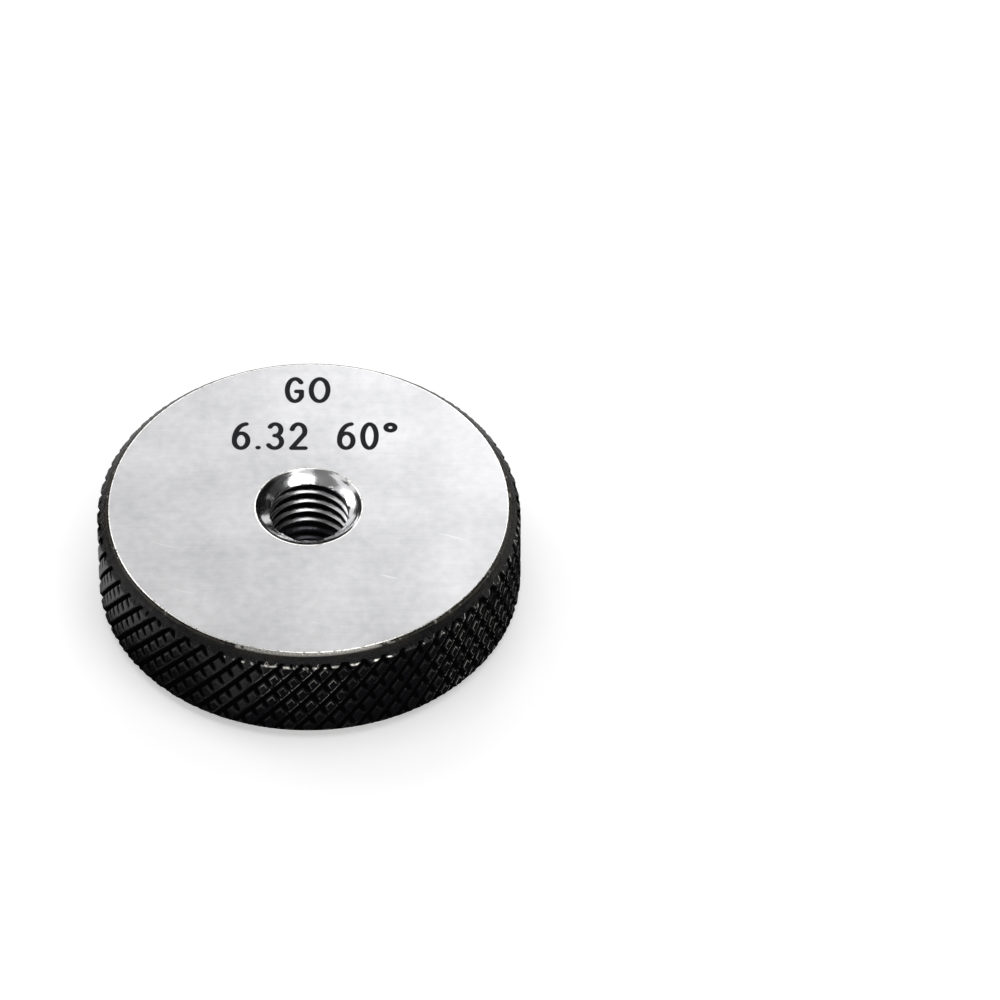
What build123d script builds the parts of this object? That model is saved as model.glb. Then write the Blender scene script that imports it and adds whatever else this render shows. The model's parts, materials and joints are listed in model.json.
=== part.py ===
"""Thread ring gauge: one turned and hardened steel ring that checks an external screw thread.

The ring lies flat.  Z is its axis, and the middle of its underside is the origin.
All sizes are millimetres and degrees.
"""
from build123d import *
from build123d.topology import SkipClean
from math import ceil, cos, pi, radians, tan
import os

# ---- the ring, as turned and ground
outer_diameter = 32.0          # over the knurl
thickness = 8.5
rim_chamfer = 0.9              # 45 degrees, above and below the knurl
edge_break = 0.1               # dulls the edge between each face and its chamfer

# ---- the gauging thread, right-hand, of the ISO metric form
nominal_diameter = 7.0         # of the screw
pitch = 1.0
flank_angle = 60.0             # between the two flanks
allowance = 0.026              # how far a 6g screw lies below its nominal diameter

# ---- the countersunk mouths of the thread
mouth_margin = 0.494           # how far a mouth opens past the thread's root, on the radius
mouth_angle = 120.0            # included

# ---- the diamond knurl: two sets of V grooves that cross on the rim
knurl_spacing = 1.25           # from groove to groove, square across them
knurl_depth = 0.25
knurl_form_angle = 90.0        # included angle of a groove
right_lean = 37.5              # of the right-hand grooves, from the ring's axis
left_lean = 26.8               # of the left-hand grooves

# ---- how far a cutter stands out of the metal
thread_tool_overlap = 0.12     # inside the bore
knurl_tool_overlap = 0.15      # outside the rim
knurl_tool_runout = 0.5        # past both faces

# ---- the thread form: the flanks meet in a sharp triangle, of which the ridges keep these parts
flank_slope = tan(radians(flank_angle / 2))
sharp_height = pitch / 2 / flank_slope
pitch_radius = (nominal_diameter - allowance) / 2 - sharp_height * 3 / 8
crest_radius = (nominal_diameter - allowance) / 2 - sharp_height * 5 / 8
root_flat = pitch / 16
root_radius = pitch_radius + (pitch / 4 - root_flat / 2) / flank_slope

# ---- sizes that follow
outer_radius = outer_diameter / 2
mouth_radius = root_radius + mouth_margin
mouth_depth = (mouth_radius - crest_radius) / tan(radians(mouth_angle / 2))
thread_turns = range(-1, ceil(thickness / pitch) + 1)


def thread_groove_half_width(radius):
    """Half the groove's width along the axis: a quarter pitch at the pitch radius, less outside it."""
    return pitch / 4 + (pitch_radius - radius) * flank_slope


def knurl_groove_count(lean):
    """The whole number of grooves round the rim that comes nearest to the knurl's spacing."""
    return round(pi * outer_diameter * cos(radians(lean)) / knurl_spacing)


def knurl_groove(lean, left_hand):
    """One V groove of the knurl, a helix that passes both faces."""
    top_half_width = (knurl_depth + knurl_tool_overlap) * tan(radians(knurl_form_angle / 2))
    with BuildPart() as groove:
        with BuildLine() as path:
            Helix(
                pitch=pi * outer_diameter / tan(radians(lean)),
                height=thickness + 2 * knurl_tool_runout,
                radius=outer_radius,
                center=(0, 0, -knurl_tool_runout),
                lefthand=left_hand,
            )
        with BuildSketch(Plane(origin=path.line @ 0, x_dir=(1, 0, 0), z_dir=path.line % 0)):
            with BuildLine():
                Polyline(
                    (-knurl_depth, 0),
                    (knurl_tool_overlap, top_half_width),
                    (knurl_tool_overlap, -top_half_width),
                    close=True,
                )
            make_face()
        sweep(path=path.line, is_frenet=True)
    return groove.part


# One turn of the thread's groove: a trapezium, widest at the bore, carried once round the helix.
with BuildPart() as thread_groove:
    bore_side = crest_radius - thread_tool_overlap
    with BuildLine() as pitch_helix:
        Helix(pitch=pitch, height=pitch, radius=pitch_radius)
    with BuildSketch(Plane.XZ):
        with BuildLine():
            Polyline(
                (bore_side, -thread_groove_half_width(bore_side)),
                (root_radius, -thread_groove_half_width(root_radius)),
                (root_radius, thread_groove_half_width(root_radius)),
                (bore_side, thread_groove_half_width(bore_side)),
                close=True,
            )
        make_face()
    sweep(path=pitch_helix.line, is_frenet=True)

bore_quarter = Cylinder(
    crest_radius,
    thickness,
    arc_size=90,
    align=(Align.NONE, Align.NONE, Align.MIN),
    mode=Mode.PRIVATE,
)
right_groove = knurl_groove(right_lean, left_hand=False)
left_groove = knurl_groove(left_lean, left_hand=True)

with BuildPart() as thread_ring:
    # the blank: a disc with its rim chamfered, and the edges of its faces dulled
    Cylinder(outer_radius, thickness, align=(Align.CENTER, Align.CENTER, Align.MIN))
    chamfer(thread_ring.edges().filter_by(GeomType.CIRCLE), rim_chamfer)
    chamfer(thread_ring.edges().filter_by(GeomType.CIRCLE).group_by(SortBy.RADIUS)[0], edge_break)

    # a countersink in the underside, and its twin turned over in the top
    with Locations(Location((0, 0, 0)), Location((0, 0, thickness), (180, 0, 0))):
        Cone(
            mouth_radius,
            crest_radius,
            mouth_depth,
            align=(Align.CENTER, Align.CENTER, Align.MIN),
            mode=Mode.SUBTRACT,
        )

    # the knurl: the right-hand grooves first, then the left-hand ones across them
    with PolarLocations(0, knurl_groove_count(right_lean)):
        add(right_groove, mode=Mode.SUBTRACT)
    with PolarLocations(0, knurl_groove_count(left_lean)):
        add(left_groove, mode=Mode.SUBTRACT)

    # the bore and its thread, whose faces stay apart where they share one cylinder: the bore comes
    # out in quarters, which leaves each turn of the crest as four strips, and then the thread's turns
    with SkipClean():
        with PolarLocations(0, 4):
            add(bore_quarter, mode=Mode.SUBTRACT)
        with Locations(*[(0, 0, turn * pitch) for turn in thread_turns]):
            add(thread_groove.part, mode=Mode.SUBTRACT)

thread_ring.part.label = "thread_ring"

os.makedirs("parts", exist_ok=True)
export_step(thread_ring.part, "parts/thread_ring.step")
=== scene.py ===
# %% [markdown]
# # A thread ring gauge
#
# This lesson gives a thread ring gauge its looks.  The gauge is one hardened steel ring: its rim
# is knurled and blackened, its two faces are ground bright, and a screw thread runs through the
# middle.  The CAD model holds the sizes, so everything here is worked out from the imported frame.
# Lengths are in millimetres until a mesh is written, because such a ring is drawn in them.

# %% Load the frame
import json
import math

import bpy
import numpy as np
from mathutils import Matrix, Vector


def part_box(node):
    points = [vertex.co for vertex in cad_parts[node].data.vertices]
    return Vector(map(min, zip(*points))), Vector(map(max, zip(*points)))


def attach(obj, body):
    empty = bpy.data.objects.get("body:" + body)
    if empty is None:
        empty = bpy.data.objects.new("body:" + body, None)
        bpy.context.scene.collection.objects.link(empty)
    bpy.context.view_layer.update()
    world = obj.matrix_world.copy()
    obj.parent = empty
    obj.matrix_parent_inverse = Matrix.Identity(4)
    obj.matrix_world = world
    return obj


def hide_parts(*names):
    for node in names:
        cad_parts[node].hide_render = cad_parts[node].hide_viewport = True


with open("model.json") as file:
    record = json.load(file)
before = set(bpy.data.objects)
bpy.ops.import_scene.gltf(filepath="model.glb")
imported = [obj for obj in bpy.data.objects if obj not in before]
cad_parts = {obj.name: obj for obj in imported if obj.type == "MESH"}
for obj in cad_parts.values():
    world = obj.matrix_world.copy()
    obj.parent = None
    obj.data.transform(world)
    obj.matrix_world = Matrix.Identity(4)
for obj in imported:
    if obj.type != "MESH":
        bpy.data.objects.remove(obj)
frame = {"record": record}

MM = 0.001                     # a millimetre, in metres
TURN = 2 * math.pi             # once round, in radians
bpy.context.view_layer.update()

# %% [markdown]
# ## The sizes of the ring
#
# The frame gives the ring's box and the thread that a screw runs in.  The rest of the thread
# follows from the metric form, whose flanks would meet at 60 degrees in a sharp triangle.  Its
# ridges are cut off flat a quarter of the triangle's height inside the pitch radius, and its
# groove keeps a flat of a sixteenth of the pitch at the root.

# %% Read the driving sizes
low_corner, high_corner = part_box("thread_ring")
outer_radius = (high_corner[0] - low_corner[0]) / 2 / MM
thickness = (high_corner[2] - low_corner[2]) / MM
thread_mount = next(m for m in frame["record"]["mounts"] if m["name"] == "gauging_thread")
crest_radius = thread_mount["dims"]["r_mm"]
mouth_depth = (thickness - thread_mount["dims"]["length_mm"]) / 2

PITCH = 1.0
ROOT_FLAT = PITCH / 16
FLANK_SLOPE = math.tan(math.radians(30))
sharp_height = PITCH / 2 / FLANK_SLOPE
pitch_radius = crest_radius + sharp_height / 4
root_radius = pitch_radius + (PITCH / 4 - ROOT_FLAT / 2) / FLANK_SLOPE

MOUTH_HALF_ANGLE = math.radians(60)
mouth_slope = math.tan(MOUTH_HALF_ANGLE)
mouth_radius = crest_radius + mouth_depth * mouth_slope

RIM_CHAMFER = 0.9
face_radius = outer_radius - RIM_CHAMFER
print(f"ring {2 * outer_radius:.2f} x {thickness:.2f}, thread crest {crest_radius:.3f}, "
      f"root {root_radius:.3f}, mouth {mouth_radius:.3f}")

# %% [markdown]
# ## One skin for the whole ring
#
# The ring is one piece of steel, so it gets one closed mesh.  A subdivided cylinder with displaced
# detail would need millions of faces.  Instead, rows of vertices go round the ring, from the rim
# over the top face, down the bore and back under, and each row has as many vertices as its place
# needs.

# %% A skin that grows loop by loop
def new_object(name, data):
    """An object in the scene that holds a mesh, a lamp or a camera."""
    holder = bpy.data.objects.new(name, data)
    bpy.context.collection.objects.link(holder)
    return holder


class Skin:
    """Gathers the vertices and triangles of one mesh, and the number of each one's finish."""

    def __init__(self):
        self.points, self.triangles, self.finishes, self.count = [], [], [], 0

    def place(self, radius, angle, height):
        """Adds vertices at (radius cos angle, radius sin angle, height), returns their numbers."""
        radius, angle, height = np.broadcast_arrays(radius, angle, height)
        spots = np.stack([radius * np.cos(angle), radius * np.sin(angle), height], axis=-1)
        self.points.append(spots.reshape(-1, 3))
        numbers = self.count + np.arange(radius.size).reshape(radius.shape)
        self.count += radius.size
        return numbers

    def fill(self, corners, finish):
        """Adds triangles, but not those that are only a line because two corners are one."""
        corners = corners.reshape(-1, 3)
        first, second, third = corners.T
        real = (first != second) & (second != third) & (third != first)
        self.triangles.append(corners[real])
        self.finishes.append(np.full(real.sum(), finish))

    def quads(self, grid, finish, inside_out=False):
        """Two triangles for every cell of a grid of vertex numbers."""
        a, b, c, d = grid[:-1, :-1], grid[1:, :-1], grid[1:, 1:], grid[:-1, 1:]
        order = (a, c, b, a, d, c) if inside_out else (a, b, c, a, c, d)
        self.fill(np.stack(order, axis=-1), finish)

    def loops(self, rows, finish):
        """Joins loops of equal count, given in order, each round the axis the same way."""
        grid = np.stack([np.append(row, row[0]) for row in rows], axis=1)
        self.quads(grid, finish)

    def make(self, name, finishes):
        """Writes the mesh in metres and returns its object."""
        mesh = bpy.data.meshes.new(name)
        points = np.concatenate(self.points) * MM
        triangles = np.concatenate(self.triangles)
        slots = np.concatenate(self.finishes).astype(np.int32)
        mesh.from_pydata(points, [], triangles)
        for finish in finishes:
            mesh.materials.append(finish)
        mesh.polygons.foreach_set("material_index", slots)
        mesh.polygons.foreach_set("use_smooth", np.ones(len(triangles), dtype=bool))
        mesh.update()
        return new_object(name, mesh)


def circle(count):
    """Angles of a loop with evenly spaced vertices."""
    return TURN * np.arange(count) / count


# %% [markdown]
# ## Loops of different counts
#
# The knurl needs hundreds of vertices round the rim, and the bore only a few dozen.  A grid of
# equal counts all the way in would waste most of its triangles near the axis.  So the counts
# change once, on a flat, where a row of uneven triangles can't be seen.

# %% Join two loops of different counts
def stitch(skin, rows, finish):
    """Joins loops of m and n vertices, of which m is the larger.  Vertex j of the longer loop
    looks to vertex floor((j + 1/2) n / m) of the shorter one, and where that changes, a triangle
    fills the step."""
    first, second = rows
    turned = len(first) < len(second)
    long, short = (second, first) if turned else (first, second)
    steps = np.arange(len(long) + 1)
    target = np.floor((steps + 0.5) * len(short) / len(long)).astype(int)
    j = steps[:-1]
    here, there = long[j], long[(j + 1) % len(long)]
    near, far = short[target[j] % len(short)], short[target[j + 1] % len(short)]
    fans = np.stack([here, there, near], axis=-1)
    gaps = np.stack([there, far, near], axis=-1)
    corners = np.concatenate([fans, gaps])
    skin.fill(corners[:, ::-1] if turned else corners, finish)


# %% [markdown]
# ## A band whose grid leans
#
# A knurl and a screw thread are both grooves that wind round a cylinder.  A grid of upright
# columns would cut across them and give them saw-toothed edges.  So the grid leans with the
# grooves: one set of its lines lies along them, and the ends of the lines are trimmed to two
# plain loops.

# %% The leaning band
BORDER_MARGIN = 0.02           # a vertex nearer than this to a border loop gives way to it


def leaning_band(skin, column_angle, angle_slope, column_rise, row_rise, seam_shift,
                 bottom, top, radius_at, finish, inside_out=False):
    """Vertex (j, k) stands at height z = column_rise[j] + row_rise[k] and at the angle
    column_angle[j] + angle_slope * z.  Heights outside bottom...top collapse on to the band's two
    border loops, and column 0 closes the band, seam_shift rows further on.  Returns the loops."""
    columns = np.arange(len(column_angle))
    height = column_rise[:, None] + row_rise[None, :]
    inside = (height > bottom + BORDER_MARGIN) & (height < top - BORDER_MARGIN)
    low = skin.place(radius_at(columns, bottom), column_angle + angle_slope * bottom, bottom)
    high = skin.place(radius_at(columns, top), column_angle + angle_slope * top, top)
    numbers = np.where(height < (bottom + top) / 2, low[:, None], high[:, None])
    j = np.nonzero(inside)[0]
    z = height[inside]
    numbers[inside] = skin.place(radius_at(j, z), column_angle[j] + angle_slope * z, z)
    seam = np.roll(numbers[0], seam_shift)
    if seam_shift > 0:
        seam[:seam_shift] = low[0]
    else:
        seam[seam_shift:] = high[0]
    skin.quads(np.concatenate([numbers, seam[None, :]]), finish, inside_out)
    return low, high


# %% [markdown]
# ## The diamond knurl
#
# Two wheels roll the knurl.  One leaves right-hand grooves, and the other crosses them with
# shallower left-hand ones, which fade before they reach the next groove, so that rows of small,
# nearly square lands stand between.  Each land's shoulders are rounded, and its middle stays a
# little low, because the metal rises most beside the grooves.

# %% Measure the knurl
KNURL_SPACING = 1.25
RIGHT_LEAN, LEFT_LEAN = math.radians(37.5), math.radians(26.8)
RIGHT_DEPTH, LEFT_DEPTH = 0.20, 0.16
RIGHT_HALF, LEFT_HALF = 0.28, 0.33     # half the width of a groove at the rim
BITE_FULL, BITE_END = 0.40, 0.88       # where across a land the left-hand groove fades, and ends
SHOULDER_WIDTH = 0.05
DIMPLE_DEPTH, DIMPLE_RADIUS = 0.03, 0.32
PLAIN_BAND = 0.60                      # height of the chamfer that the grooves don't reach
CHAMFER_BLEND = 0.05


def groove_count(lean):
    """The whole number of grooves nearest to the spacing: circumference * cos(lean) / spacing."""
    return round(TURN * outer_radius * math.cos(lean) / KNURL_SPACING)


right_grooves, left_grooves = groove_count(RIGHT_LEAN), groove_count(LEFT_LEAN)
# Where the grid's lines stand between two grooves of a set, closest at a groove's shoulders.
RIGHT_STEPS = np.array([0, .12, .20, .24, .29, .50, .71, .76, .80, .88])
LEFT_STEPS = np.array([0, .11, .21, .264, .325, .50, .675, .736, .79, .89])
print(f"knurl: {right_grooves} right-hand grooves and {left_grooves} left-hand")


# %% [markdown]
# ## The shape of the knurl
#
# A displacement texture could fake the knurl, but its lands would melt at the ring's outline.  So
# the rim's radius is worked out at every vertex, from how far it lies from the nearest groove of
# each set.  Where two cuts meet, the corner between them is rounded, as rolled metal is.

# %% Work out the radius of the rim
def soft_max(a, b, width):
    """The larger of two depths, with the corner between them rounded over the given width:
    max(a, b) + h * h * width / 4, where h = max(0, 1 - |a - b| / width)."""
    h = np.clip(1 - np.abs(a - b) / width, 0, None)
    return np.maximum(a, b) + h * h * width / 4


def knurl_gaps(right, left):
    """How far a place lies from the nearest groove of each set, measured square across it."""
    around = TURN * outer_radius
    return (np.abs(right - np.round(right)) * around * np.cos(RIGHT_LEAN) / right_grooves,
            np.abs(left - np.round(left)) * around * np.cos(LEFT_LEAN) / left_grooves)


def left_bite(right):
    """How hard the left-hand wheel bit: 1 just past a right-hand groove, and fading smoothly, as
    1 - t * t * (3 - 2 t), before the next one."""
    t = np.clip((right - np.floor(right) - BITE_FULL) / (BITE_END - BITE_FULL), 0, 1)
    return 1 - t * t * (3 - 2 * t)


def knurl_radius(right, left, z):
    """Radius of the rim where right and left count grooves along each set.  A groove is a wide V,
    depth * (1 - gap / half).  The deepest of the Vs, the dimple and both chamfers wins."""
    right_gap, left_gap = knurl_gaps(right, left)
    to_middle = np.hypot(right_gap - KNURL_SPACING / 2, left_gap - KNURL_SPACING / 2)
    dimple = DIMPLE_DEPTH * np.cos(np.clip(to_middle / DIMPLE_RADIUS, 0, 1) * np.pi / 2) ** 2
    cut = soft_max(RIGHT_DEPTH * (1 - right_gap / RIGHT_HALF),
                   LEFT_DEPTH * (left_bite(right) - left_gap / LEFT_HALF), SHOULDER_WIDTH)
    cut = soft_max(cut, dimple, SHOULDER_WIDTH)
    chamfer = RIM_CHAMFER - np.minimum(z, thickness - z)
    return outer_radius - soft_max(cut, chamfer, CHAMFER_BLEND)


# %% [markdown]
# ## The rim's grid
#
# An even grid would need ten times the triangles to show the lands' edges.  This one follows both
# sets of grooves at once: its columns lie along the right-hand grooves and its rows along the
# left-hand ones, so every shoulder of a land lies on a line of the grid.

# %% Build the rim
def build_rim(skin, finish):
    """The knurled band, as a grid along both sets of grooves.  A right-hand groove meets the same
    left-hand groove again one drop higher, circumference / (tan right lean + tan left lean).
    Returns the lower and upper loops."""
    drop = TURN * outer_radius / (math.tan(RIGHT_LEAN) + math.tan(LEFT_LEAN))
    extra = math.ceil(thickness / drop * left_grooves) + 1
    right = (np.arange(right_grooves)[:, None] + RIGHT_STEPS).ravel()
    left = (np.arange(-1, left_grooves + extra)[:, None] + LEFT_STEPS).ravel()

    def radius_at(column, z):
        along_left = (right[column] / right_grooves + z / drop) * left_grooves
        return knurl_radius(right[column], along_left, z)

    return leaning_band(
        skin, TURN * right / right_grooves, math.tan(RIGHT_LEAN) / outer_radius,
        -drop * right / right_grooves, drop * left / left_grooves,
        left_grooves * len(LEFT_STEPS), PLAIN_BAND, thickness - PLAIN_BAND, radius_at, finish)


# %% [markdown]
# ## Marks that the finish can read
#
# The grooves are darkened with painted shade, and the lands' shoulders are rubbed to bare, light
# steel, which also paints glints.  A pattern in the material couldn't find those places, but the
# mesh knows them.  So each vertex keeps a value or two, as attributes, and the materials read
# them.

# %% Mark grooves and shoulders
RIM_MARGIN = 0.1                       # below the bottom of a groove
SHOULDER_OFFSET = 0.02                 # past a groove's edge, where the mark peaks
SHOULDER_BELL = 0.055                  # half the width of the mark


def vertex_places(mesh):
    """Angle, distance from the axis and height of every vertex, in millimetres."""
    points = np.empty(len(mesh.vertices) * 3)
    mesh.vertices.foreach_get("co", points)
    x, y, z = points.reshape(-1, 3).T / MM
    return np.arctan2(y, x), np.hypot(x, y), z


def store(mesh, name, values):
    """Keeps one value for every vertex, under a name that materials can ask for."""
    kept = mesh.attributes.new(name, "FLOAT", "POINT")
    kept.data.foreach_set("value", values.astype(np.float32))


def mark_knurl(mesh):
    """Stores groove, which is 1 along the bottom of a groove and 0 on the lands, and shoulder, a
    bell exp(-d * d) about the edge of a land, where d counts bell widths from its peak."""
    angle, from_axis, z = vertex_places(mesh)
    right = (angle - z * math.tan(RIGHT_LEAN) / outer_radius) * right_grooves / TURN
    left = (angle + z * math.tan(LEFT_LEAN) / outer_radius) * left_grooves / TURN
    right_gap, left_gap = knurl_gaps(right, left)
    bite = left_bite(right)
    outside = from_axis > outer_radius - RIGHT_DEPTH - RIM_MARGIN
    on_rim = outside & (np.abs(z - thickness / 2) < thickness / 2 - PLAIN_BAND)
    groove = np.maximum(1 - right_gap / RIGHT_HALF, bite - left_gap / LEFT_HALF)
    past = np.minimum(right_gap - RIGHT_HALF, left_gap - LEFT_HALF * bite)
    shoulder = np.exp(-((past - SHOULDER_OFFSET) / SHOULDER_BELL) ** 2)
    store(mesh, "groove", np.clip(groove, 0, 1) * on_rim)
    store(mesh, "shoulder", shoulder * on_rim)


# %% [markdown]
# ## The gauging thread
#
# The thread is a groove that climbs one pitch for each turn.  Its flanks lean 30 degrees, its root
# is narrow, and the ridges have flat crests, which is where the bore was.  A Screw modifier could
# sweep that profile, but its ends would stay open, and a groove that simply broke through the
# countersinks would leave feather edges, which a gauge maker grinds off.  Here the groove's depth
# is a formula, so it can run out smoothly before it reaches them.

# %% Build the bore
THREAD_COLUMNS = 144
SPARE_TURNS = 2                # past each end, to be trimmed
THREAD_STEPS = np.array([-.5, -.44, -.385, -.365, -.32, -.24, -.16, -.08, -.032,
                         .032, .08, .16, .24, .32, .365, .385, .44])
MOUTH_BAND = 0.20              # height of the countersink that the thread doesn't reach
MOUTH_DISH = 0.12              # how far the countersink is hollowed, on the radius
MOUTH_BLEND = 0.12             # depth of thread over which the countersink's finish ends
RUNOUT_START = 0.46            # how far below the face the groove begins
RUNOUT_LENGTH = 0.62           # and how much further down it has its full depth
print(f"bore: {THREAD_COLUMNS} columns, {len(THREAD_STEPS)} rows for each turn of the thread")


def thread_and_cone(turns, z):
    """Radius of the thread, and of the countersink that cuts it.  The flank is
    pitch_radius + (1/4 - |t|) pitch / slope, kept between crest and root, where t counts pitches
    from the groove's middle.  Near a face the groove's depth is multiplied by f * f * (3 - 2 f),
    where f climbs from 0 to 1 along the run-out."""
    t = np.abs(turns - np.round(turns))
    flank = pitch_radius + (0.25 - t) * PITCH / FLANK_SLOPE
    depth = np.minimum(z, thickness - z)
    dish = MOUTH_DISH * np.sin(np.pi * np.clip(depth / mouth_depth, 0, 1))
    thread = np.clip(flank, crest_radius, root_radius)
    f = np.clip((depth - RUNOUT_START) / RUNOUT_LENGTH, 0, 1)
    thread = crest_radius + (thread - crest_radius) * f ** 2 * (3 - 2 * f)
    return thread, mouth_radius - mouth_slope * depth + dish


def build_bore(skin, finish):
    """The threaded bore, as a grid along the thread's helix.  Returns its lower and upper loop."""
    angle = circle(THREAD_COLUMNS)
    whole_turns = np.arange(-SPARE_TURNS, math.ceil(thickness / PITCH) + SPARE_TURNS)
    turns = (whole_turns[:, None] + THREAD_STEPS).ravel()

    def radius_at(column, z):
        return np.maximum(*thread_and_cone(z / PITCH - angle[column] / TURN, z))

    return leaning_band(
        skin, angle, 0.0, PITCH * angle / TURN, PITCH * turns, -len(THREAD_STEPS),
        MOUTH_BAND, thickness - MOUTH_BAND, radius_at, finish, inside_out=True)


def mark_mouths(mesh):
    """Stores mouth: 1 on the countersinks, 0 on the thread, and in between where the thread lies
    just below them."""
    angle, _, z = vertex_places(mesh)
    thread, cone = thread_and_cone(z / PITCH - angle / TURN, z)
    store(mesh, "mouth", np.clip(1 - (thread - cone) / MOUTH_BLEND, 0, 1))


# %% [markdown]
# ## Faces, chamfers and their edges
#
# A turned edge is never a knife edge: a stone is run round it.  That small round is what shows as
# a bright line between the ground face and the black chamfer.  A Bevel modifier would round the
# hundreds of lands as well, so the rounds are drawn instead: each end of the ring is one profile
# of radius and height, turned round the axis, from the last row of the knurl in to the thread.

# %% Draw the profiles
EDGE_ROUND, MOUTH_ROUND = 0.15, 0.22
EDGE_STEPS, MOUTH_STEPS, CHAMFER_STEPS = 7, 5, 4
CHAMFER_LEAN = math.pi / 4
CHAMFER_CROWN = 0.02
GUARD = 0.05                   # a loop this near an edge keeps the flat beside it flat


def chamfer_profile():
    """Radius and depth below the face along the chamfer, which bulges squarely out of its 45
    degrees by crown * sin(pi t)."""
    start, stop = PLAIN_BAND, EDGE_ROUND * (1 - math.sin(CHAMFER_LEAN))
    t = np.linspace(0, 1, CHAMFER_STEPS + 1)[1:]
    depth = start + (stop - start) * t
    bulge = CHAMFER_CROWN * np.sin(np.pi * t) / math.sqrt(2)
    return face_radius + depth + bulge, depth - bulge


def edge_profile():
    """The round between chamfer and face: a circle whose normal turns from 45 to 90 degrees."""
    lean = np.linspace(CHAMFER_LEAN, math.pi / 2, EDGE_STEPS)[1:]
    centre = face_radius - EDGE_ROUND * math.tan(CHAMFER_LEAN / 2)
    return centre + EDGE_ROUND * np.cos(lean), EDGE_ROUND * (1 - np.sin(lean))


def mouth_profile():
    """The round between face and countersink: a circle whose normal turns by 30 degrees."""
    turn = math.pi / 2 - MOUTH_HALF_ANGLE
    lean = np.linspace(0, turn, MOUTH_STEPS)
    centre = mouth_radius + MOUTH_ROUND * math.tan(turn / 2)
    return centre - MOUTH_ROUND * np.sin(lean), MOUTH_ROUND * (1 - np.cos(lean))


print(f"ends: face from {mouth_profile()[0][0]:.2f} to {edge_profile()[0][-1]:.2f} on the radius")

# %% [markdown]
# ## Closing the ends
#
# The flat face lies between two rounds, and smooth shading would spread their bend far into it,
# as a dark rim.  Marking every edge sharp would cure that and spoil the rounds.  So a guard loop
# lies flat beside each round, and the change of counts happens between the two guards.

# %% Build an end
BLACK, GROUND, BRIGHT, BORE = range(4)         # the ring's finishes, in the order of its slots


def build_end(skin, rim_loop, rim_angle, bore_loop, on_top):
    """One end of the ring, from the knurled band's loop to the bore's."""
    def loops(profile, angle):
        radius, depth = profile
        heights = thickness - depth if on_top else depth
        return [skin.place(r, angle, z) for r, z in zip(radius, heights)]

    def flat_loop(radius, angle):
        return loops(([radius], np.zeros(1)), angle)[0]

    def join(rows, finish):
        rows = rows if on_top else rows[::-1]
        if len(rows[0]) == len(rows[1]):
            skin.loops(rows, finish)
        else:
            stitch(skin, rows, finish)

    bore_angle = circle(THREAD_COLUMNS)
    chamfer = [rim_loop] + loops(chamfer_profile(), rim_angle)
    edge = [chamfer[-1]] + loops(edge_profile(), rim_angle)
    outer_guard = flat_loop(edge_profile()[0][-1] - GUARD, rim_angle)
    mouth = loops(mouth_profile(), bore_angle)
    inner_guard = flat_loop(mouth_profile()[0][0] + GUARD, bore_angle)
    join(chamfer, BLACK)
    join(edge, BRIGHT)
    join([edge[-1], outer_guard], GROUND)
    join([outer_guard, inner_guard], GROUND)
    join([inner_guard, mouth[0]], GROUND)
    join(mouth, BRIGHT)
    join([mouth[-1], bore_loop], BORE)


# %% [markdown]
# ## Finishes
#
# Each finish is a Principled material.  Wiring its nodes one by one would take pages, so its maths
# is written as plain expressions: a Wire stands for one socket, and adding or multiplying wires
# adds the Math nodes that do it.

# %% Sockets that can be added and multiplied
class Wire:
    """One output socket of a node tree, with arithmetic that adds Math nodes."""

    def __init__(self, owner, socket):
        self.owner, self.socket = owner, socket

    def _math(self, operation, first, second=0.0, clamp=False):
        return self.owner.node("ShaderNodeMath", {"operation": operation, "use_clamp": clamp},
                               {0: first, 1: second})

    def __add__(self, other): return self._math("ADD", self, other)
    def __radd__(self, other): return self._math("ADD", other, self)
    def __sub__(self, other): return self._math("SUBTRACT", self, other)
    def __rsub__(self, other): return self._math("SUBTRACT", other, self)
    def __mul__(self, other): return self._math("MULTIPLY", self, other)
    def __rmul__(self, other): return self._math("MULTIPLY", other, self)
    def __abs__(self): return self._math("ABSOLUTE", self)
    def clamped(self): return self._math("ADD", self, clamp=True)


class Nodes:
    """A tree of nodes, built node by node."""

    def __init__(self, tree):
        self.tree = tree

    def set(self, node, sockets):
        """Gives sockets their values, or links them where the value is a Wire."""
        for key, value in sockets.items():
            socket = node.inputs[key]
            if isinstance(value, Wire):
                self.tree.links.new(value.socket, socket)
            else:
                socket.default_value = value

    def node(self, kind, settings=None, sockets=None, output=0):
        """Adds a node of any type, sets it up, feeds its sockets and returns one output."""
        node = self.tree.nodes.new(kind)
        for key, value in (settings or {}).items():
            setattr(node, key, value)
        self.set(node, sockets or {})
        return Wire(self, node.outputs[output])


# %% [markdown]
# ## Places and patterns
#
# A finish varies with where a point lies on the ring.  Unwrapping such a ring for image textures
# would leave seams across the knurl.  Object coordinates need no unwrapping, and in millimetres a
# pattern keeps its size wherever it is used.

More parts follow.
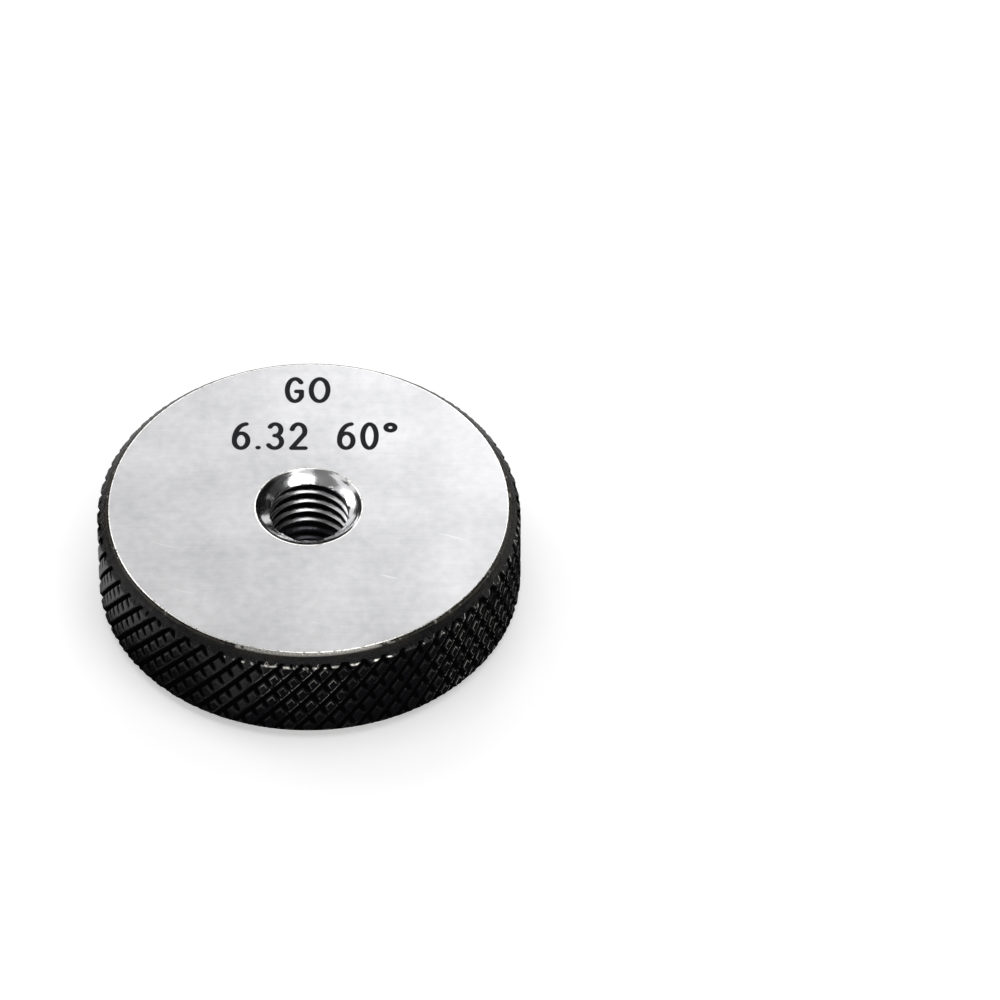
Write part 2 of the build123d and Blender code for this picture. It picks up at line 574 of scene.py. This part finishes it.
# %% Places and patterns in millimetres
class Places(Nodes):
    """A material's nodes that say where a point is, and the noise that is laid there."""

    def spot(self, stretch=(1, 1, 1), turn=0.0):
        """Object coordinates in millimetres, turned about Z and then stretched along each axis."""
        place = self.node("ShaderNodeTexCoord", output="Object")
        if turn:
            place = self.node("ShaderNodeMapping", None,
                              {"Vector": place, "Rotation": (0, 0, turn)})
        return self.node("ShaderNodeMapping", None,
                         {"Vector": place, "Scale": tuple(s / MM for s in stretch)})

    def axes(self):
        """Object coordinates in millimetres: right, back and up."""
        split = self.node("ShaderNodeSeparateXYZ", None, {"Vector": self.spot()})
        return [Wire(self, output) for output in split.socket.node.outputs]

    def from_axis(self):
        """Distance from the ring's axis, in millimetres."""
        flat = self.node("ShaderNodeVectorMath", {"operation": "MULTIPLY"},
                         {0: self.spot(), 1: (1, 1, 0)})
        return self.node("ShaderNodeVectorMath", {"operation": "LENGTH"}, {0: flat},
                         output="Value")

    def mark(self, name):
        """A value that the mesh stores at its vertices."""
        return self.node("ShaderNodeAttribute", {"attribute_name": name}, output="Fac")

    def noise(self, scale, detail, **spot):
        """Noise from 0 to 1, whose lumps are 1 / scale millimetres long."""
        return self.node("ShaderNodeTexNoise", None,
                         {"Vector": self.spot(**spot), "Scale": scale, "Detail": detail})


# %% [markdown]
# ## A material
#
# Every finish here is put together in the same few ways: a mask keeps something to one part of the
# ring, a blend goes from one colour to another, and a bump gives grain that is too fine to model.

# %% A material with masks and blends
class Finish(Places):
    """A Principled material.  The constants go on its shader's own sockets."""

    def __init__(self, name, constants):
        self.material = bpy.data.materials.new(name)
        self.material.use_nodes = True
        super().__init__(self.material.node_tree)
        self.shader = self.tree.nodes["Principled BSDF"]
        self.set(self.shader, constants)

    def mask(self, wire, start, stop):
        """0 before start, 1 past stop, and a straight ramp between."""
        return self.node("ShaderNodeMapRange", {"clamp": True},
                         {"Value": wire, "From Min": start, "From Max": stop})

    def zone(self, *ramps):
        """The product of several masks, each given as a wire, a start and a stop."""
        masks = [self.mask(*ramp) for ramp in ramps]
        return math.prod(masks[1:], start=masks[0])

    def blend(self, mask, first, second):
        """The first colour where the mask is 0, the second where it is 1."""
        return self.node("ShaderNodeMix", {"data_type": "RGBA"},
                         {"Factor": mask, "A": first, "B": second}, output="Result")

    def bump(self, height, depth):
        """A normal from a height of 0 to 1, which stands for the given depth in millimetres."""
        return self.node("ShaderNodeBump", None,
                         {"Height": height, "Distance": depth * MM, "Strength": 1.0},
                         output="Normal")

    def own_shader(self):
        """The output of the Principled shader."""
        return Wire(self, self.shader.outputs[0])

    def cover(self, shader):
        """Puts another shader on the surface in the place of the Principled one."""
        self.set(self.tree.nodes["Material Output"], {"Surface": shader})

    def finish(self, **wires):
        """Links what varies to the shader and returns the material."""
        self.set(self.shader, {key.replace("_", " ").title(): wire
                               for key, wire in wires.items()})
        return self.material


def grey(level):
    """A colour without a hue."""
    return level, level, level, 1


# %% [markdown]
# ## Where the rim wears and glints
#
# Fingers hold the ring at the front and a thumb at its right, and there the lands' shoulders are
# rubbed to bare, light steel, which also paints glints.  Set down on a bench, it knocks its front
# edge, so the black chips off the chamfer's two corners, and along the front the bare chips also
# paint a highlight.  One mask over the whole rim would wear it evenly, which no tool is, so each
# kind of wear gets a zone of its own.

# %% Lay out the wear
# Shares of rubbed, light steel on the shoulders, which also paints glints.
FINGER_RUB_GLINT, STRAY_RUB_GLINT = 0.8, 0.08            # against 1 under the thumb
# At the front the extra chips also paint a highlight.
KNOCK_HIGHLIGHT_EDGE, KNOCK_HIGHLIGHT_CORNER = 0.12, 0.22      # what a knock adds to the chips
CHIPPED = 0.62, 0.70                           # the noise above which the black has gone


def chips(skin, knock_highlight_zone, face_edge, corner):
    """Bare chips on the chamfer's face edge and knurl corner; more at the front, as painted
    highlight.
    """
    flakes = skin.noise(2.0, 6.0) + KNOCK_HIGHLIGHT_CORNER * knock_highlight_zone
    return (face_edge * skin.mask(flakes + KNOCK_HIGHLIGHT_EDGE * knock_highlight_zone, *CHIPPED)
            + corner * skin.mask(flakes, *CHIPPED)).clamped()


def rubbed_glinting_shoulders(skin, finger_rub_glints, thumb_rub_glints):
    """Bare, light shoulders, partly rubbed and partly painted glints: broken up where held, a few
    strays elsewhere.
    """
    rub_glint_zones = finger_rub_glints * FINGER_RUB_GLINT + thumb_rub_glints
    rub_glint_patches = (rub_glint_zones * skin.mask(skin.noise(1.1, 3.0), 0.40, 0.56)
               + STRAY_RUB_GLINT * skin.mask(skin.noise(0.30, 2.0), 0.49, 0.57))
    return (skin.mask(skin.mark("shoulder"), 0.66, 1.00) * rub_glint_patches).clamped()


# %% [markdown]
# ## Black oxide
#
# The rim was blackened in a hot bath, which leaves a thin, dark and slightly glossy skin.  It is
# not bare metal, so it is a dark dielectric.  Handling wears it brownish near the ground edge,
# the turning lines of the chamfer show through as faint streaks, and oil leaves it a little
# uneven.  A second, quite matt black layer is mixed into the grooves as painted shade.

# %% Make the black oxide
OXIDE, BROWN_OXIDE = (0.005, 0.005, 0.006, 1), (0.026, 0.022, 0.015, 1)
STREAK, BARE_STEEL = (0.045, 0.041, 0.034, 1), (0.70, 0.68, 0.62, 1)
# The black of the painted shade in the grooves.
GROOVE_SHADE = grey(0.002)


def oxide_colour(skin, from_axis, front, up, below_face, cloud):
    """Black, browned near the ground edge, with streaks round the chamfer."""
    browned = (skin.mask(from_axis, face_radius + 0.6, face_radius + 0.1)
               * skin.mask(cloud, 0.40, 0.62)).clamped()
    turned = skin.node("ShaderNodeCombineXYZ", None, {0: from_axis, 1: up})
    rings = skin.node("ShaderNodeTexNoise", None, {"Vector": turned, "Scale": 9.0, "Detail": 2.0})
    streaks = rings + 0.5 * skin.noise(2.4, 5.0) - 0.10 * skin.mask(front, -11.0, -14.5)
    streaked = skin.zone((below_face, 0.86, 0.80), (streaks, 0.74, 0.90)).clamped()
    return skin.blend(streaked, skin.blend(browned, OXIDE, BROWN_OXIDE), STREAK)


def black_oxide():
    """The blackened rim.  Its zones are ramps in millimetres, from where they begin to where they
    are full: side counts to the right, front to the back and up from the underside."""
    skin = Finish("black_oxide", {"IOR": 1.32})
    side, front, up = skin.axes()
    below_face = thickness / 2 - abs(up - thickness / 2)
    cloud, grain = skin.noise(0.45, 4.0), skin.noise(9.0, 3.0)
    # At the front, more chips as knock wear, which also paint a highlight.
    knock_highlight_zone = skin.zone((side, -6.5, -3.0), (side, 8.0, 4.5), (front, -11.0, -13.0))
    face_edge = skin.mask(below_face, 0.24, 0.08)
    corner = skin.zone((below_face, 0.98, 0.92), (below_face, 0.78, 0.84))
    # Held at the front and at the right: rubbed shoulders that also paint glints.
    finger_rub_glints = skin.zone((side, -4.6, -2.6), (side, 4.2, 1.8), (front, -11.0, -13.0),
                        (up, 2.5, 5.5))
    thumb_rub_glints = skin.zone((side, 8.0, 11.5), (front, 2.0, -1.0), (front, -13.8, -12.0))
    worn_and_highlit = chips(skin, knock_highlight_zone, face_edge, corner)
    rub_glints = rubbed_glinting_shoulders(skin, finger_rub_glints, thumb_rub_glints)
    colour = oxide_colour(skin, skin.from_axis(), front, up, below_face, cloud)
    # Painted shade: a matt black layer darkens the grooves.
    groove_shade_layer = skin.node("ShaderNodeBsdfDiffuse", None, {"Color": GROOVE_SHADE}, output="BSDF")
    in_groove = skin.mask(skin.mark("groove"), 0.20, 0.50)
    skin.cover(skin.node("ShaderNodeMixShader", None,
                         {0: in_groove, 1: skin.own_shader(), 2: groove_shade_layer}))
    # The bare, light steel of chips and shoulders is partly wear and partly painted highlights and
    # glints.
    return skin.finish(
        base_color=skin.blend((rub_glints + worn_and_highlit).clamped(), colour, BARE_STEEL),
        metallic=(worn_and_highlit + 0.5 * rub_glints).clamped(),
        roughness=0.15 + 0.15 * grain + 0.06 * cloud,
        normal=skin.bump(grain * 0.5 + skin.noise(2.2, 3.0), 0.05))


# %% [markdown]
# ## Ground and polished steel
#
# The faces come off a surface grinder, which leaves very fine parallel lines.  An anisotropic
# shader would draw them as one long glint, but from a hand's width away they melt into a soft,
# even sheen, with faint clouds where the wheel was loaded.  So plain roughness does the sheen, and
# noise stretched along the lines does the rest.  A few hair scratches cross them at a slight
# angle.  The stoned edges are smoother, so they mirror their surroundings more sharply, between
# small nicks.

# %% Make the ground and the bright steel
GROUND_DARK, GROUND_LIGHT = (0.393, 0.393, 0.402, 1), (0.548, 0.548, 0.556, 1)
EDGE_STEEL, NICKED = (0.88, 0.87, 0.84, 1), (0.42, 0.40, 0.36, 1)
SCRATCH = grey(0.60)


def ground_steel():
    """Grey that drifts between two shades, with fine lines along x and scratches across them."""
    skin = Finish("ground_steel", {"Metallic": 1.0})
    cloud, speck = skin.noise(0.16, 4.0), skin.noise(1.3, 3.0)
    lines = skin.noise(3.0, 2.0, stretch=(0.10, 7.0, 1.0))
    scratches = skin.mask(skin.noise(1.0, 1.0, stretch=(0.22, 4.0, 1.0), turn=0.30), 0.765, 0.82)
    level = skin.mask(0.5 * cloud + 0.3 * speck + 0.2 * lines, 0.34, 0.66)
    return skin.finish(
        base_color=skin.blend(scratches, skin.blend(level, GROUND_DARK, GROUND_LIGHT), SCRATCH),
        roughness=0.27 + 0.06 * lines + 0.05 * speck,
        normal=skin.bump(lines, 0.0006))


def bright_steel():
    """Polished steel with small dull nicks."""
    skin = Finish("bright_steel", {"Metallic": 1.0})
    nicks = skin.mask(skin.noise(2.6, 4.0), 0.54, 0.64)
    return skin.finish(
        base_color=skin.blend(nicks, EDGE_STEEL, NICKED),
        roughness=0.20 + 0.12 * skin.noise(1.1, 3.0))


# %% [markdown]
# ## The thread's steel
#
# Lapping polishes the flanks, which do the gauging.  The crests and the part of each flank next to
# the root are painted black, as shade.  The countersinks are bright all over.  The lower turns are
# painted darker, as shade.  One finish does all four, because they run into each other along the
# same groove.

# %% Make the thread's steel
# Painted shade: black on the crests and near the roots, and darker in the lower turns.
CREST_ROOT_SHADE, LOWER_TURN_SHADE = (0.006, 0.006, 0.008, 1), (0.035, 0.034, 0.040, 1)
LAPPED_DULL, LAPPED_CLEAR = (0.60, 0.60, 0.61, 1), (0.80, 0.80, 0.81, 1)


def thread_steel():
    """Lapped between two lines, the outer one ragged, in millimetres outwards of the crest, and
    black beyond them as painted shade; painted darker from a height of about 5.4 down, fully from
    3.6."""
    skin = Finish("thread_steel", {})
    cloud = skin.noise(1.6, 4.0)
    turned = skin.noise(2.0, 2.0, stretch=(0.6, 0.6, 9.0))
    up = skin.axes()[2]
    above_crest = skin.from_axis() - crest_radius
    ragged = skin.noise(2.4, 3.0) * 0.20
    lapped = skin.zone((above_crest, 0.005, 0.030), (above_crest + ragged, 0.37, 0.30))
    mouth = skin.mark("mouth")
    bare = (lapped + mouth).clamped()
    colour = skin.blend(bare, CREST_ROOT_SHADE, skin.blend(cloud, LAPPED_DULL, LAPPED_CLEAR))
    # Painted shade: the lower turns are darker.
    lower_turn_shade = skin.mask(up + 1.2 * cloud, 5.4, 3.6) * (1.0 - mouth)
    return skin.finish(
        base_color=skin.blend(lower_turn_shade, colour, LOWER_TURN_SHADE),
        metallic=bare,
        roughness=0.17 - 0.07 * mouth + 0.08 * turned,
        normal=skin.bump(0.6 * turned + cloud, 0.007))


# %% [markdown]
# ## Join it up
#
# The rim gives two loops and the bore gives two.  The ends join them, and the skin is closed.
# Smooth shading rounds the lands, and the sharp edges between the finishes stay crisp because
# every edge steeper than a set angle is marked sharp.

# %% Build the ring
SHARP_ANGLE = math.radians(32)


def build_ring():
    """The whole skin, with its four finishes in the order of their slots."""
    skin = Skin()
    rim_low, rim_high = build_rim(skin, BLACK)
    bore_low, bore_high = build_bore(skin, BORE)
    points = np.concatenate(skin.points)
    for rim, bore, on_top in ((rim_low, bore_low, False), (rim_high, bore_high, True)):
        build_end(skin, rim, np.arctan2(points[rim, 1], points[rim, 0]), bore, on_top)
    return skin.make("ring", [black_oxide(), ground_steel(), bright_steel(), thread_steel()])


ring = build_ring()
mark_knurl(ring.data)
mark_mouths(ring.data)
ring.data.set_sharp_from_angle(angle=SHARP_ANGLE)
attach(ring, "root")
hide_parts("thread_ring")
print("ring:", len(ring.data.vertices), "vertices,", len(ring.data.polygons), "triangles")

# %% [markdown]
# ## The marking
#
# A GO gauge says so, and gives the size that it checks: its pitch diameter and its flank angle.
# A font would bring its own outlines, so each character is a few strokes, and a stroke is a flat
# pen line: an ellipse carried along a path, whose width shrinks to nothing over the last half
# width, so that both ends are round and closed.

# %% Draw the strokes
MARK_PROUD = 0.010             # how far the ink stands above the face
LINE_STEPS, PEN_SIDES, CAP_STEPS = 28, 8, 5
CAP_END = 0.98                 # a cap stops just short of a point


def line(x0, y0, x1, y1):
    """A straight path, as a function of t from 0 to 1."""
    def at(t):
        return np.stack([x0 + (x1 - x0) * t, y0 + (y1 - y0) * t], axis=-1)
    return at


def arc(x, y, width, height, start, stop):
    """A path along an ellipse about (x, y), from one angle to another, in degrees."""
    def at(t):
        turn = np.radians(start + (stop - start) * t)
        return np.stack([x + width / 2 * np.cos(turn), y + height / 2 * np.sin(turn)], axis=-1)
    return at


def stroke(path, scale, pen):
    """Vertices and faces of one pen line: vertex (i, k) is path(t) + pen / 2 * w n cos a, at the
    height proud * w * sin a, where n is square to the path.  The width w is 1 along the path.
    Past each end the path runs on straight for half a pen, and w falls as a half circle does."""
    spot = path(np.linspace(0, 1, LINE_STEPS)) * scale
    along = np.gradient(spot, axis=0)
    along /= np.hypot(*along.T)[:, None]
    past = np.sin(np.linspace(0, np.pi / 2, CAP_STEPS + 1)[1:] * CAP_END)
    before = spot[0] - along[0] * pen / 2 * past[::-1, None]
    after = spot[-1] + along[-1] * pen / 2 * past[:, None]
    spot = np.concatenate([before, spot, after])
    along = np.pad(along, ((CAP_STEPS, CAP_STEPS), (0, 0)), mode="edge")
    share = np.concatenate([past[::-1], np.zeros(LINE_STEPS), past])
    width = np.sqrt(1 - share ** 2)[:, None]
    side = np.stack([-along[:, 1], along[:, 0]], axis=-1)
    turn = circle(PEN_SIDES)
    flat = spot[:, None, :] + side[:, None, :] * (pen / 2 * width * np.cos(turn))[..., None]
    rise = MARK_PROUD * width * np.sin(turn)
    points = np.concatenate([flat, rise[..., None]], axis=-1).reshape(-1, 3)
    grid = np.arange(len(spot) * PEN_SIDES).reshape(-1, PEN_SIDES)
    around = np.roll(grid, -1, axis=1)
    sides = np.stack([grid[:-1], around[:-1], around[1:], grid[1:]], axis=-1).reshape(-1, 4)
    return points, sides.tolist() + [grid[0, ::-1].tolist(), grid[-1].tolist()]


# %% [markdown]
# ## Characters
#
# The figures on a gauge are plain: straight lines and parts of ellipses.  Each one is laid out in
# a box 1 wide and 1 high, with its width as a share of its height beside it.

# %% Lay out the characters
CHARACTERS = {
    "G": ([arc(.50, .50, .88, 1, 42, 326),
           line(.87, .22, .87, .44), line(.87, .44, .58, .44)], .56),
    "O": ([arc(.50, .50, .92, 1, 90, 455)], .58),
    "6": ([arc(.50, .31, .84, .62, 0, 365), arc(.82, .33, 1.48, 1.34, 92, 180)], .48),
    "0": ([arc(.50, .50, .84, 1, 90, 455)], .48),
    "3": ([arc(.47, .76, .72, .48, 150, -90), arc(.46, .26, .86, .52, 90, -150)], .48),
    "2": ([arc(.48, .70, .80, .60, 165, -32),
           line(.84, .57, .08, 0), line(.08, 0, .92, 0)], .48),
    ".": ([line(.45, .02, .55, .02)], .12),
    " ": ([], .52),
    "'": ([arc(.50, .86, .80, .27, 90, 455)], .34),
}
GAP = 0.21                     # between characters, as a share of their height
print("characters:", len(CHARACTERS))


def write(text, x, y, height, pen):
    """Sets a line of characters with its middle at (x, y).  Returns points and faces."""
    widths = [CHARACTERS[c][1] * height for c in text]
    across = x - (sum(widths) + GAP * height * (len(text) - 1)) / 2
    points, faces, count = [], [], 0
    for character, width in zip(text, widths):
        for path in CHARACTERS[character][0]:
            spots, sides = stroke(path, np.array([width, height]), pen)
            points.append(spots + (across, y - height / 2, thickness))
            faces += [[v + count for v in side] for side in sides]
            count += len(spots)
        across += width + GAP * height
    return np.concatenate(points), faces


# %% [markdown]
# ## Black ink
#
# The marking is filled with black.  A texture could carry it, but the ink would blur from close by
# and be missing from the mesh.  So it is thin geometry that stands a hundredth of a millimetre
# proud, which keeps the two surfaces from flickering, and its finish is rough, so that it stays
# dark where the ground steel shines.

# %% Write the marking
INK_DARK, INK_LIGHT = (0.004, 0.004, 0.006, 1), (0.014, 0.014, 0.018, 1)
PEN = 0.40
LINES = (("GO", -0.25, 12.3, 2.4), ("6.32 60'", 0.35, 7.4, 2.55))    # text, x, y and height


def marking_black():
    """Matt black, a little lighter in its grain."""
    skin = Finish("marking_black", {"IOR": 1.2})
    grain = skin.noise(6.0, 3.0)
    return skin.finish(
        base_color=skin.blend(grain, INK_DARK, INK_LIGHT),
        roughness=0.45 + 0.2 * grain)


def make_marking(lines, pen, finish):
    """Writes all lines of characters into one mesh."""
    points, faces = np.empty((0, 3)), []
    for text, x, y, height in lines:
        spots, sides = write(text, x, y, height, pen)
        faces += [[v + len(points) for v in side] for side in sides]
        points = np.concatenate([points, spots])
    mesh = bpy.data.meshes.new("marking")
    mesh.from_pydata(points * MM, [], faces)
    mesh.materials.append(finish)
    mesh.validate()
    return new_object("marking", mesh)


marking = make_marking(LINES, PEN, marking_black())
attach(marking, "root")
print("marking:", len(marking.data.polygons), "faces")

# %% [markdown]
# ## The floor
#
# The ring stands on a white table that has no edge.  Its colour alone would come out grey, and
# more light would burn out the ring, so the floor gives a little light of its own that only the
# camera sees, and still keeps the shadow.

# %% Lay the floor
FLOOR_WHITE, FLOOR_GLOW = grey(0.82), 0.40


def plane(name, centre, right, up, finish):
    """A flat card from its middle and its two half sides, in metres."""
    centre, right, up = Vector(centre), Vector(right), Vector(up)
    corners = [centre - right - up, centre + right - up, centre + right + up, centre - right + up]
    mesh = bpy.data.meshes.new(name)
    mesh.from_pydata(corners, [], [(0, 1, 2, 3)])
    mesh.materials.append(finish)
    sheet = new_object(name, mesh)
    return sheet


def white_floor():
    """Matt white, with light of its own towards the camera."""
    skin = Finish("white_floor",
                  {"Base Color": FLOOR_WHITE, "Roughness": 0.9, "Specular IOR Level": 0.0})
    seen = skin.node("ShaderNodeLightPath", output="Is Camera Ray")
    glow = skin.node("ShaderNodeEmission", None,
                     {"Color": grey(1), "Strength": seen * FLOOR_GLOW}, output="Emission")
    skin.cover(skin.node("ShaderNodeAddShader", None, {0: skin.own_shader(), 1: glow}))
    return skin.material


floor = plane("floor", (0, 0, 0), (3, 0, 0), (0, 3, 0), white_floor())
print("floor:", floor.dimensions[0], "m wide")

# %% [markdown]
# ## The room
#
# The sky is white to the camera and in reflections, and dimmer as a light, because a full white
# sky would leave the ring without shadows.

# %% Fill the sky
SKY_LIGHT = 0.45               # as a light, against 1 as a background


def white_sky():
    """A world that the camera and reflections see as white."""
    world = bpy.data.worlds.new("room")
    world.use_nodes = True
    sky = Nodes(world.node_tree)
    to_camera = sky.node("ShaderNodeLightPath", output="Is Camera Ray")
    to_mirror = sky.node("ShaderNodeLightPath", output="Is Glossy Ray")
    white = sky.node("ShaderNodeMath", {"operation": "MAXIMUM"}, {0: to_camera, 1: to_mirror})
    level = sky.node("ShaderNodeMapRange", None,
                     {"Value": white, "To Min": SKY_LIGHT, "To Max": 1.0})
    sky.set(world.node_tree.nodes["Background"], {"Color": grey(1), "Strength": level})
    return world


bpy.context.scene.world = white_sky()
print("sky: as a light", SKY_LIGHT, "of white")

# %% [markdown]
# ## The lamps
#
# Polished steel shows its surroundings, so the surroundings are part of the finish.  One large
# soft light hangs over the ring and gives the ground face its even sheen.  The small ones are
# there for what the countersink and the knurl mirror: three behind the ring put bright streaks on
# the countersink, and two low ones in front glance along the lands.

# %% Hang the lamps
LAMPS = {                      # place in metres, width, height, times brighter than white
    "overhead": ((0.045, -0.03, 0.40), 0.19, 0.46, 1.95),
    "back_left": ((-0.223, 0.162, 0.230), 0.12, 0.20, 1.75),
    "back_right": ((0.027, 0.124, 0.105), 0.05, 0.06, 2.6),
    "back_middle": ((-0.035, 0.148, 0.105), 0.04, 0.05, 1.9),
    "front_low": ((-0.28, -0.22, 0.035), 0.14, 0.05, 4.2),
    "right_low": ((0.23, -0.25, 0.035), 0.20, 0.05, 7.0),
}
middle = Vector((0, 0, thickness / 2 * MM))


def soft_light(name, place, width, height, brightness):
    """A rectangular lamp that shines at the middle of the ring.  Its power is that of a white
    card so many times brighter than white: brightness * pi * width * height."""
    lamp = bpy.data.lights.new(name, "AREA")
    lamp.shape, lamp.size, lamp.size_y = "RECTANGLE", width, height
    lamp.energy = brightness * math.pi * width * height
    holder = new_object(name, lamp)
    holder.location = place
    holder.rotation_euler = (middle - Vector(place)).to_track_quat("-Z", "Y").to_euler()
    holder.visible_camera = False


for name, lamp in LAMPS.items():
    soft_light(name, *lamp)
print("lamps:", len(LAMPS))

# %% [markdown]
# ## Dark cards
#
# Bright steel looks like metal only when it mirrors something dark as well.  Dark cards round the
# ring put black lines beside the bright ones.  A closed wall of them would turn the ground faces
# black from other sides, so there are gaps at the front, the left and the right.  Only reflections
# see the cards, so they cast no shadow and take no light from the knurl.

# %% Stand the cards round the ring
DARK = 0.01                    # the share of light that a dark card gives back
CARDS = {                      # a corner, the two sides that leave it, in metres, and the shade
    "card_right": ((0.12, -0.15, 0.04), (0, 0.24, 0), (0, 0, 0.10), DARK),
    "card_right_back": ((0.12, 0.09, 0), (0, 0.10, 0), (0, 0, 0.19), DARK),
    "card_left": ((-0.20, -0.30, 0.10), (0, 0.32, 0), (0, 0, 0.10), DARK),
    "card_left_front": ((-0.20, -0.30, 0), (0, 0.17, 0), (0, 0, 0.10), DARK),
    "card_left_middle": ((-0.20, 0.075, 0), (0, 0.205, 0), (0, 0, 0.15), DARK),
    "card_left_back": ((-0.20, 0.28, 0), (0, 0.24, 0), (0, 0, 0.09), DARK),
    "card_back": ((-0.25, 0.50, 0), (0.60, 0, 0), (0, 0, 0.09), DARK),
    "card_back_high": ((0.095, 0.50, 0.09), (0.14, 0, 0), (0, 0, 0.12), DARK),
    "card_front": ((-0.20, -0.25, 0.21), (0.40, 0, 0), (0, 0.08, 0.08), DARK),
    "card_above_middle": ((-0.075, 0.05, 0.22), (0.165, 0, 0), (0, 0.085, 0), DARK),
    "card_above_left": ((-0.15, -0.17, 0.25), (0.124, 0, 0), (0, 0.22, 0), 0.35),
    "card_above_right": ((0.080, -0.10, 0.22), (0.17, 0, 0), (0, 0.22, 0), 0.06),
    # Painted shade: this dark card on the floor, in front of the ring and to its right, stands in
    # for the ring's shadow there, which the lower rim mirrors.
    "card_floor": ((-0.006, -0.034, 0.0003), (0.040, 0, 0), (0, 0.045, 0), DARK),
    "card_floor_left": ((-0.0165, -0.0165, 0.0003), (0.0105, 0, 0), (0, 0.0165, 0), DARK),
    "card_floor_back": ((-0.15, 0.030, 0.0003), (0.30, 0, 0), (0, 0.45, 0), DARK),
}


def card(name, corner, across, up, shade):
    """A card that only reflections see: corner + s * across + t * up."""
    corner, across, up = Vector(corner), Vector(across), Vector(up)
    skin = Finish(name, {"Base Color": grey(shade), "Roughness": 1.0, "Specular IOR Level": 0.0})
    sheet = plane(name, corner + across / 2 + up / 2, across / 2, up / 2, skin.material)
    sheet.visible_camera = sheet.visible_diffuse = sheet.visible_shadow = False
    sheet.visible_transmission = sheet.visible_volume_scatter = False


for name, sides in CARDS.items():
    card(name, *sides)
print("cards:", len(CARDS))

# %% [markdown]
# ## The camera
#
# A long lens from well away keeps the ring's ellipses true.  The camera is given by its distance,
# its height above the horizon, a very small roll, and the spot in the frame where the middle of
# the underside falls, because that is how a maker would set it up: by the outline that is wanted.

# %% Set up the camera
CAMERA_DISTANCE = 809.05       # from the middle of the underside, in millimetres
CAMERA_HEIGHT = math.radians(46.04)
CAMERA_ROLL = -0.000618        # in radians
FOCAL_PIXELS = 10646.2         # the focal length, in pixels of the render
RENDER_SIDE = 1000             # in pixels
RING_PIXEL = (310.108, 583.918)    # to the right and down
SENSOR = 36                    # in millimetres
NEAR, FAR = 0.01, 20           # what the camera sees, in metres


def place_camera():
    """Stands the camera where the middle of the underside falls on its pixel, at the place
    -(across * right + below * down + distance * ahead)."""
    ahead = np.array([0, math.cos(CAMERA_HEIGHT), -math.sin(CAMERA_HEIGHT)])
    level_right = np.array([1.0, 0, 0])
    level_down = np.cross(ahead, level_right)
    right = math.cos(CAMERA_ROLL) * level_right + math.sin(CAMERA_ROLL) * level_down
    down = math.cos(CAMERA_ROLL) * level_down - math.sin(CAMERA_ROLL) * level_right
    across, below = [(p - RENDER_SIDE / 2) / FOCAL_PIXELS * CAMERA_DISTANCE for p in RING_PIXEL]
    place = -(across * right + below * down + CAMERA_DISTANCE * ahead)
    data = bpy.data.cameras.new("camera")
    data.sensor_width = SENSOR
    data.lens = SENSOR * FOCAL_PIXELS / RENDER_SIDE
    data.clip_start, data.clip_end = NEAR, FAR
    camera = new_object("camera", data)
    pose = np.eye(4)
    pose[:3] = np.stack([right, -down, -ahead, place * MM], axis=1)
    camera.matrix_world = Matrix(pose.tolist())
    return camera


bpy.context.scene.camera = place_camera()
bpy.context.scene.view_settings.view_transform = "Standard"
print("camera at", [round(v, 3) for v in bpy.context.scene.camera.matrix_world.translation])
